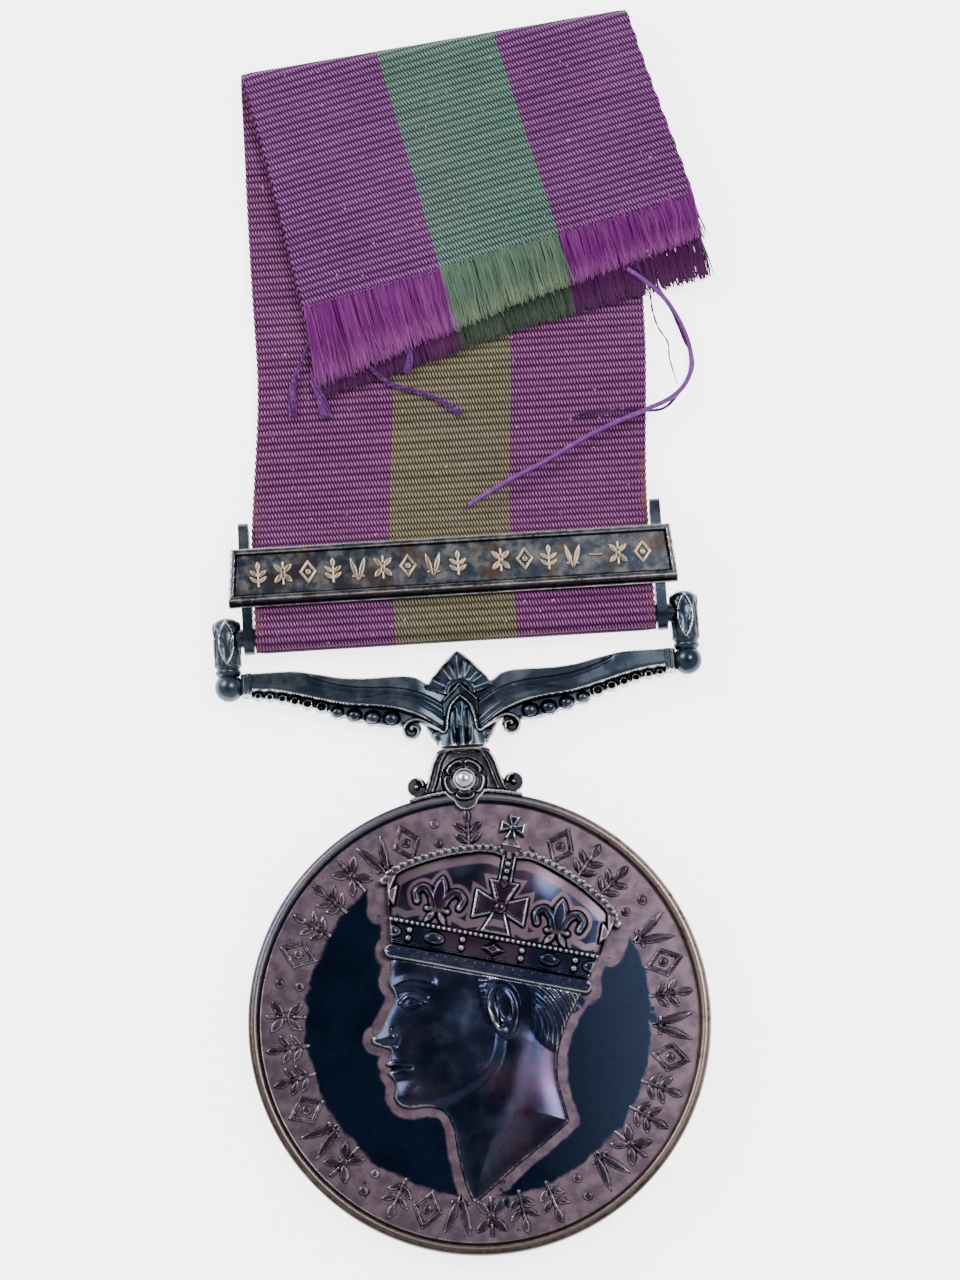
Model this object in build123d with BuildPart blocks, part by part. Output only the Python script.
from build123d import *
import os
from math import cos, pi, radians, sin, tan

# A campaign service medal lying on its back: a struck silver disc in a claw, a swivelling scroll
# suspender, one clasp and a folded length of ribbon.  Millimetres, +Z up.
# Origin: centre of the disc on the plane that the reverse rim rests on.
# +Y runs from the disc towards the ribbon, +Z out of the obverse.

# ---- disc ----
disc_d = 36.0            # standard diameter of the struck disc
disc_t = 3.0             # thickness over both rims
rim_w = 0.85             # width of the raised rim
field_depth = 0.55       # field below the rim, on the obverse
reverse_depth = 0.5      # the same on the reverse
bust_d = 30.0            # circle that the crowned head fills
head_relief = 0.75       # relief of the crowned head above the field
wreath_d = 26.0          # laurel wreath on the reverse, middle of its band
wreath_w = 3.0
wreath_relief = 0.3
tang_w = 2.4             # tongue of the disc that the claw holds
tang_l = 2.0
tang_t = 1.4

# ---- claw and swivel ----
claw_rise = 3.4          # top of the claw above the disc's edge
claw_half_w = 2.85
claw_foot_half_w = 4.5
claw_lap = 0.6           # how far the claw laps over the rim
claw_cheek = 0.75        # height of the cheek above the rim
claw_knob_r = 0.78
claw_fit = 0.03
claw_back = 0.15         # the claw stands clear of the resting plane
claw_pin_r = 0.6
boss_r = 0.75
boss_h = 0.55
swivel_r = 0.7           # stem of the swivel pin
swivel_clear = 0.05      # running clearance of the stem in the suspender's foot
swivel_head_r = 1.05
swivel_head_t = 0.8
head_clear = 0.1
claw_gap = 0.15          # air between the claw and the suspender's foot

# ---- suspender ----
foot_l = 1.6             # length of the swivel bore
foot_half_w = 1.65
arm_drop = 1.2           # back of the suspender below the pin's axis
arm_t = 2.2
arm_rise = 6.4           # middle of the arm's end above the foot's lower face
arm_end_h = 1.95         # height of the arm at its end
curl_r = 0.79
shell_r = 2.3
shell_h = 2.1
leaf_relief = 0.4
collar_r = 0.85
ball_r = 1.0
neck_r = 0.55
ring_r = 0.85
bud_r = 1.02
bud_l = 4.0
rail_r = 0.75            # rod that the ribbon and the clasp hang on
rail_rise = 3.5          # rod above the ball ends

# ---- ribbon ----
ribbon_w = 31.75         # standard 1 1/4 inch ribbon
ribbon_t = 0.45
ribbon_gap = 0.13        # air between the ribbon and the rod
ribbon_side = 0.175      # air between the ribbon and each lug
stand_l = 47.5           # rod to the fold
fold_angle = 6.5         # slant of the fold across the ribbon, degrees
lean = 1.0               # sideways drift of the ribbon from the clasp to the fold
layer_gap = 0.2          # air between layers that lie on each other
tail_gap = 0.5           # air under the folded tail
tail_l = 19.6            # fold to the frayed end, along the left edge
under_extra = 2.0        # the under layer reaches this much further

# ---- clasp ----
lug_t = 0.8
lug_gap = 0.15           # air between a lug and the post beside it
lug_clear = 0.05         # running clearance of the lugs on the rod
lug_wall = 0.55          # metal round the lug's bore
plate_rise = 2.7         # lower edge of the plate above the rod
plate_h = 4.6
plate_t = 1.2
plate_clear = 0.12       # air between the ribbon's front layer and the plate
plate_over = 1.05        # overhang of the plate past the lugs at its lower edge
plate_taper = 0.55       # how much shorter each end is at the upper edge
plate_border = 0.5
panel_depth = 0.3
ear_rise = 1.0           # ear hole above the plate's upper edge
ear_r = 1.0
ear_hole_r = 0.5

# ---- loose thread at the frayed end ----
thread_d = 0.4
thread_points = [
    (15.6, 60.0, 2.0), (17.8, 58.5, 1.6), (19.4, 56.3, 0.9), (20.4, 53.6, 0.5), (20.3, 51.2, 0.5),
    (18.8, 49.3, 1.1), (16.1, 48.2, 1.6), (12.0, 46.7, 1.6), (8.0, 44.4, 1.9), (4.7, 42.9, 2.3),
    (1.6, 41.0, 2.9),
]

# ---- derived places ----
disc_r = disc_d / 2
axis_z = disc_t / 2                              # height of the swivel and of the rod
claw_top = disc_r + claw_rise
foot_y = claw_top + claw_gap
arm_y = foot_y + arm_rise
ball_y = arm_y + 0.1
rail_y = ball_y + rail_rise
lug_in = ribbon_w / 2 + ribbon_side
lug_out = lug_in + lug_t
post_in = lug_out + lug_gap
ball_x = post_in + ball_r
arm_x = post_in - 0.4                            # where the arm meets its collar
plate_y0 = rail_y + plate_rise
plate_y1 = plate_y0 + plate_h
arm_z0 = axis_z - arm_drop
lug_bore_r = rail_r + lug_clear
lug_end_r = lug_bore_r + lug_wall
loop_r = rail_r + ribbon_gap + ribbon_t / 2      # middle of the ribbon round the rod
plate_z0 = axis_z + loop_r + ribbon_t / 2 + plate_clear
fold_y = rail_y + stand_l
back_z = ribbon_t / 2
front_z = back_z + ribbon_t + layer_gap
under_z = front_z + ribbon_t + tail_gap
top_z = under_z + ribbon_t + layer_gap
fold_z = (back_z + top_z) / 2                    # the tail folds about this height
slope = tan(radians(fold_angle))
turn = radians(2 * fold_angle)

os.makedirs("parts", exist_ok=True)


def finish(builder, label):
    """Name a finished piece and write it."""
    builder.part.label = label
    export_step(builder.part, f"parts/{label}.step")


# %% disc: rim, sunk fields, relief and the tongue that the claw grips
with BuildPart() as medal_disc:
    with BuildSketch():
        Circle(disc_r)
    extrude(amount=disc_t)
    fillet(medal_disc.edges(), radius=0.25)
    with BuildSketch(Plane.XY.offset(disc_t - field_depth)):
        Circle(disc_r - rim_w)
    extrude(amount=field_depth, mode=Mode.SUBTRACT)
    with BuildSketch():
        Circle(disc_r - rim_w)
    extrude(amount=reverse_depth, mode=Mode.SUBTRACT)
    with BuildSketch(Plane.XY.offset(disc_t - field_depth)):
        with Locations((0.06 * bust_d, 0.26 * bust_d)):
            Ellipse(0.3 * bust_d, 0.15 * bust_d, rotation=-14)
        with Locations((0, -0.04 * bust_d)):
            Ellipse(0.22 * bust_d, 0.24 * bust_d)
        with Locations((0.06 * bust_d, -0.26 * bust_d)):
            Ellipse(0.13 * bust_d, 0.17 * bust_d, rotation=20)
    extrude(amount=head_relief)
    with BuildSketch(Plane.XY.offset(reverse_depth - wreath_relief)):
        Circle(wreath_d / 2 + wreath_w / 2)
        Circle(wreath_d / 2 - wreath_w / 2, mode=Mode.SUBTRACT)
    extrude(amount=wreath_relief)
    with BuildSketch(Plane.XY.offset(axis_z - tang_t / 2)):
        with Locations((0, disc_r - 1)):
            Rectangle(tang_w, tang_l + 1, align=(Align.CENTER, Align.MIN))
    extrude(amount=tang_t)
    with BuildSketch(Plane.XY):
        with Locations((0, disc_r + tang_l / 2)):
            Circle(claw_pin_r)
    extrude(amount=disc_t, mode=Mode.SUBTRACT)
finish(medal_disc, "medal_disc")

# %% claw: a block above the disc's edge, with a cheek that laps over the rim
pin_y = disc_r + tang_l / 2
knob_x = claw_foot_half_w - claw_knob_r
with BuildPart() as claw_mount:
    with BuildSketch(Plane.XY.offset(claw_back)) as claw_plan:
        with Locations((0, disc_r + 0.8)):
            Ellipse(claw_half_w, claw_rise - 0.8)
        with Locations((0, disc_r + 0.4)):
            Rectangle(2 * claw_foot_half_w, 1.4)
        with Locations((-knob_x, disc_r + 1), (knob_x, disc_r + 1)):
            Circle(claw_knob_r)
        Circle(disc_r + claw_fit, mode=Mode.SUBTRACT)
    extrude(amount=disc_t - claw_back)
    with BuildSketch(Plane.XY.offset(disc_t)):
        add(claw_plan.sketch.faces())
        with BuildLine():
            lap = CenterArc((0, 0), disc_r - claw_lap, 76, 28)
            reach = CenterArc((0, 0), disc_r + 0.2, 76, 28)
            Line(lap @ 0, reach @ 0)
            Line(lap @ 1, reach @ 1)
        make_face()
    extrude(amount=claw_cheek)
    with BuildSketch(Plane.XY.offset(axis_z - tang_t / 2 - claw_fit)):
        with Locations((0, disc_r - 1)):
            Rectangle(tang_w + 2 * claw_fit, tang_l + 1 + claw_fit, align=(Align.CENTER, Align.MIN))
    extrude(amount=tang_t + 2 * claw_fit, mode=Mode.SUBTRACT)
    with BuildSketch(Plane.XY):
        with Locations((0, pin_y)):
            Circle(claw_pin_r)
    extrude(amount=disc_t + claw_cheek, mode=Mode.SUBTRACT)
    with BuildSketch(Plane.XZ.offset(-claw_top)):
        with Locations((0, axis_z)):
            Circle(swivel_r)
    extrude(amount=claw_top - (disc_r + tang_l + claw_fit), mode=Mode.SUBTRACT)
finish(claw_mount, "claw_mount")

# %% rivet through the claw and the tongue, with the domed boss of the rosette
with BuildPart() as claw_pin:
    with BuildSketch(Plane.XY.offset(claw_back)):
        with Locations((0, pin_y)):
            Circle(claw_pin_r)
    extrude(amount=disc_t + claw_cheek - claw_back)
    with BuildSketch(Plane.XY.offset(disc_t + claw_cheek)):
        with Locations((0, pin_y)):
            Circle(boss_r)
    extrude(amount=boss_h)
    fillet(claw_pin.edges().sort_by(Axis.Z)[-1], radius=boss_h * 0.8)
finish(claw_pin, "claw_pin")

# %% swivel pin: set in the claw, headed above the suspender's foot
foot_top = foot_y + foot_l
with BuildPart() as swivel_pin:
    with BuildSketch(Plane.XZ.offset(-(disc_r + tang_l + claw_fit))):
        with Locations((0, axis_z)):
            Circle(swivel_r)
    extrude(amount=-(foot_top + swivel_clear - disc_r - tang_l - claw_fit))
    with BuildSketch(Plane.XZ.offset(-(foot_top + swivel_clear))):
        with Locations((0, axis_z)):
            Circle(swivel_head_r)
    extrude(amount=-swivel_head_t)
finish(swivel_pin, "swivel_pin")

# %% suspender: scroll bar, foot, shell, collars, ball ends and bud finials, cast in one
arm_top = arm_y + arm_end_h / 2
arm_low = arm_y - arm_end_h / 2
neck_top = foot_top + 0.6
with BuildPart() as suspender:
    with BuildSketch(Plane.XY.offset(arm_z0)):
        with BuildLine():
            upper = Spline(
                (arm_x, arm_top), (0.86 * arm_x, arm_top), (0.6 * arm_x, arm_top - 0.5),
                (0.3 * arm_x, arm_top - 0.75), (0, arm_top - 1.4),
            )
            lower = Spline(
                (arm_x, arm_low), (0.82 * arm_x, arm_low - 0.5), (0.6 * arm_x, arm_low - 1.7),
                (0.38 * arm_x, arm_low - 2.9), (foot_half_w + 1.6, neck_top), (foot_half_w, foot_top - 0.4),
            )
            Line(upper @ 0, lower @ 0)
            Polyline(lower @ 1, (foot_half_w, foot_y), (0, foot_y), upper @ 1)
        make_face()
        with Locations((foot_half_w + 2.2, foot_top + 0.7)):
            Circle(curl_r)
        with Locations((0, arm_y - 0.3)):
            Ellipse(shell_r, shell_h)
        mirror(about=Plane.YZ)
    extrude(amount=arm_t)
    with BuildSketch(Plane.XY.offset(arm_z0 + arm_t)):
        with BuildLine():
            leaf = Polyline(
                (0, arm_low - 0.4), (0.9, arm_low - 2.4), (1.3, foot_top + 0.4), (0, foot_y + 0.3)
            )
            Line(leaf @ 1, leaf @ 0)
        make_face()
        mirror(about=Plane.YZ)
    extrude(amount=leaf_relief)
    for side in (-1, 1):
        with BuildSketch(Plane.YZ.offset(side * (arm_x - 0.3))):
            with Locations((arm_y, axis_z)):
                Circle(collar_r)
        extrude(amount=side * (ball_x - arm_x))
        with Locations((side * ball_x, ball_y, axis_z)):
            Sphere(ball_r)
        with BuildSketch(Plane.XY.offset(axis_z)):
            with BuildLine():
                bud = Spline(
                    (side * (ball_x + neck_r), rail_y - 0.5 * bud_l),
                    (side * (ball_x + bud_r), rail_y - 0.1 * bud_l),
                    (side * (ball_x + 0.6 * bud_r), rail_y + 0.35 * bud_l),
                    (side * ball_x, rail_y + 0.5 * bud_l),
                )
                Polyline(bud @ 0, (side * (ball_x + neck_r), ball_y), (side * ball_x, ball_y), bud @ 1)
            make_face()
            with Locations((side * (ball_x + ring_r / 2), ball_y + ball_r + 0.2)):
                Rectangle(ring_r, 0.4)
        revolve(axis=Axis((side * ball_x, 0, axis_z), (0, 1, 0)))
    with BuildSketch(Plane.YZ.offset(-(ball_x - 0.4))):
        with Locations((rail_y, axis_z)):
            Circle(rail_r)
    extrude(amount=2 * (ball_x - 0.4), mode=Mode.SUBTRACT)
    with BuildSketch(Plane.XZ.offset(-foot_y)):
        with Locations((0, axis_z)):
            Circle(swivel_r + swivel_clear)
    extrude(amount=-foot_l, mode=Mode.SUBTRACT)
    with BuildSketch(Plane.XZ.offset(-foot_top)):
        with Locations((0, axis_z)):
            Circle(swivel_head_r + head_clear)
        with Locations((0, axis_z / 2 - 0.5)):
            Rectangle(2 * (swivel_head_r + head_clear), axis_z + 1)
    extrude(amount=-(swivel_head_t + 2 * swivel_clear), mode=Mode.SUBTRACT)
finish(suspender, "suspender")

# %% rod between the two finials
with BuildPart() as ribbon_rail:
    with BuildSketch(Plane.YZ.offset(-(ball_x - 0.4))):
        with Locations((rail_y, axis_z)):
            Circle(rail_r)
    extrude(amount=2 * (ball_x - 0.4))
finish(ribbon_rail, "ribbon_rail")

# %% clasp plate: a tapered bar with a raised border round a sunk panel
low_half = lug_out + plate_over
high_half = low_half - plate_taper


def plate_corners(inset):
    """Corners of the clasp plate, moved in by inset on every side."""
    return [
        (-low_half + inset, plate_y0 + inset), (low_half - inset, plate_y0 + inset),
        (high_half - inset, plate_y1 - inset), (-high_half + inset, plate_y1 - inset),
    ]


with BuildPart() as clasp_plate:
    with BuildSketch(Plane.XY.offset(plate_z0)):
        with BuildLine():
            Polyline(*plate_corners(0), close=True)
        make_face()
    extrude(amount=plate_t)
    chamfer(clasp_plate.faces().sort_by(Axis.Z)[-1].edges(), length=plate_border * 0.4)
    with BuildSketch(Plane.XY.offset(plate_z0 + plate_t - panel_depth)):
        with BuildLine():
            Polyline(*plate_corners(plate_border), close=True)
        make_face()
    extrude(amount=panel_depth, mode=Mode.SUBTRACT)
finish(clasp_plate, "clasp_plate")

# %% side lugs of the clasp: bored for the rod below, eared above for another clasp
ear_y = plate_y1 + ear_rise
ear_z = axis_z + 0.3
for label, inner in (("clasp_lug_left", -lug_out), ("clasp_lug_right", lug_in)):
    with BuildPart() as lug:
        with BuildSketch(Plane.YZ.offset(inner)):
            with Locations((rail_y, axis_z)):
                Circle(lug_end_r)
            with Locations((ear_y, ear_z)):
                Circle(ear_r)
            with BuildLine():
                Polyline(
                    (rail_y, axis_z - lug_end_r), (ear_y, ear_z - ear_r), (ear_y, ear_z + ear_r),
                    (plate_y1 - 0.2, plate_z0), (plate_y0 + 0.2, plate_z0), (rail_y, axis_z + lug_end_r),
                    close=True,
                )
            make_face()
            with Locations((rail_y, axis_z)):
                Circle(lug_bore_r, mode=Mode.SUBTRACT)
            with Locations((ear_y, ear_z)):
                Circle(ear_hole_r, mode=Mode.SUBTRACT)
        extrude(amount=lug_t)
    finish(lug, label)

# %% ribbon, both standing layers and the loop round the rod, as one bent strip
fold_left_y = fold_y - slope * ribbon_w / 2
fold_right_y = fold_y + slope * ribbon_w / 2
straight_y = rail_y + 12.5
loop_low = (rail_y, axis_z - loop_r)
loop_high = (rail_y, axis_z + loop_r)
level_y = rail_y + 3.5                           # the layers leave the rod level as far as here
strip_end = fold_right_y + 1                     # past the fold, trimmed along it below
with BuildPart() as ribbon_standing:
    with BuildSketch(Plane.YZ.offset(-ribbon_w)):
        with BuildLine() as strip:
            back = FilletPolyline(
                (strip_end, back_z), (straight_y, back_z), (level_y, loop_low[1]), loop_low, radius=8
            )
            loop = ThreePointArc(loop_low, (rail_y - loop_r, axis_z), loop_high)
            front = FilletPolyline(
                loop_high, (level_y, loop_high[1]), (straight_y, front_z), (strip_end, front_z), radius=8
            )
        trace(line_width=ribbon_t)
    extrude(amount=2 * ribbon_w)
    with BuildSketch():
        with BuildLine():
            Polyline(
                (-ribbon_w / 2, rail_y - 3), (ribbon_w / 2, rail_y - 3), (ribbon_w / 2, straight_y),
                (ribbon_w / 2 + lean, fold_right_y), (-ribbon_w / 2 + lean, fold_left_y),
                (-ribbon_w / 2, straight_y), close=True,
            )
        make_face()
    extrude(amount=2 * plate_z0, mode=Mode.INTERSECT)
finish(ribbon_standing, "ribbon_standing")

# %% fold: the two layers turn over together, one inside the other
along = Vector(cos(radians(fold_angle)), sin(radians(fold_angle)), 0)
outward = Vector(-along.Y, along.X, 0)
fold_plane = Plane(origin=(lean, fold_y, fold_z), x_dir=outward, z_dir=along)
fold_half = ribbon_w / 2 / cos(radians(fold_angle))
with BuildPart() as ribbon_fold:
    with BuildSketch(fold_plane.offset(-fold_half)):
        for middle in (top_z - fold_z, under_z - fold_z):
            Circle(middle + ribbon_t / 2)
            Circle(middle - ribbon_t / 2, mode=Mode.SUBTRACT)
        with Locations((-top_z, 0)):
            Rectangle(2 * top_z, 4 * top_z, mode=Mode.SUBTRACT)
    extrude(amount=2 * fold_half)
finish(ribbon_fold, "ribbon_fold")

# %% tail: the two turned-over layers, each ending in a frayed edge
warp = Vector(sin(turn), -cos(turn), 0)
weft = Vector(cos(turn), sin(turn), 0)
fold_left = Vector(lean - ribbon_w / 2, fold_left_y, 0)
fold_right = Vector(lean + ribbon_w / 2, fold_right_y, 0)
with BuildPart() as ribbon_tail:
    for height, length in ((under_z, tail_l + under_extra), (top_z, tail_l)):
        end_left = fold_left + warp * length
        end_right = end_left + weft * ribbon_w
        with BuildSketch(Plane.XY.offset(height - ribbon_t / 2)):
            with BuildLine():
                Polyline(*[(p.X, p.Y) for p in (fold_left, end_left, end_right, fold_right)], close=True)
            make_face()
        extrude(amount=ribbon_t)
finish(ribbon_tail, "ribbon_tail")


# %% loose thread drawn out of the under layer's frayed end
def bend_radii(points):
    """Radius at each inner point: 0.45 of the shorter run over the tangent of half the turn."""
    radii = []
    for before, here, after in zip(points, points[1:], points[2:]):
        run_in = Vector(*here) - Vector(*before)
        run_out = Vector(*after) - Vector(*here)
        half_turn = radians(run_in.get_angle(run_out)) / 2
        radii.append(0.45 * min(run_in.length, run_out.length) / tan(half_turn))
    return radii


thread_radii = bend_radii(thread_points)
with BuildPart() as loose_thread:
    with BuildLine() as thread_path:
        FilletPolyline(*thread_points, radius=thread_radii)
    with BuildSketch(Plane(thread_path.wire() @ 0, z_dir=thread_path.wire() % 0)):
        Circle(thread_d / 2)
    sweep()
finish(loose_thread, "loose_thread")

thread_length = thread_path.wire().length
thread_volume = pi * (thread_d / 2) ** 2 * thread_length
standing_length = strip.wire().length - 2 * (strip_end - fold_y)
fold_length = pi * (top_z - fold_z) + pi * (under_z - fold_z)
tail_length = 2 * (tail_l - slope * ribbon_w / 2) + under_extra
print("thread bend radii", [round(r, 2) for r in thread_radii])
print("thread length", round(thread_length, 2))
print("thread volume over section times length", round(loose_thread.part.volume / thread_volume, 4))
print("ribbon cut length", round(standing_length + fold_length + tail_length, 2))
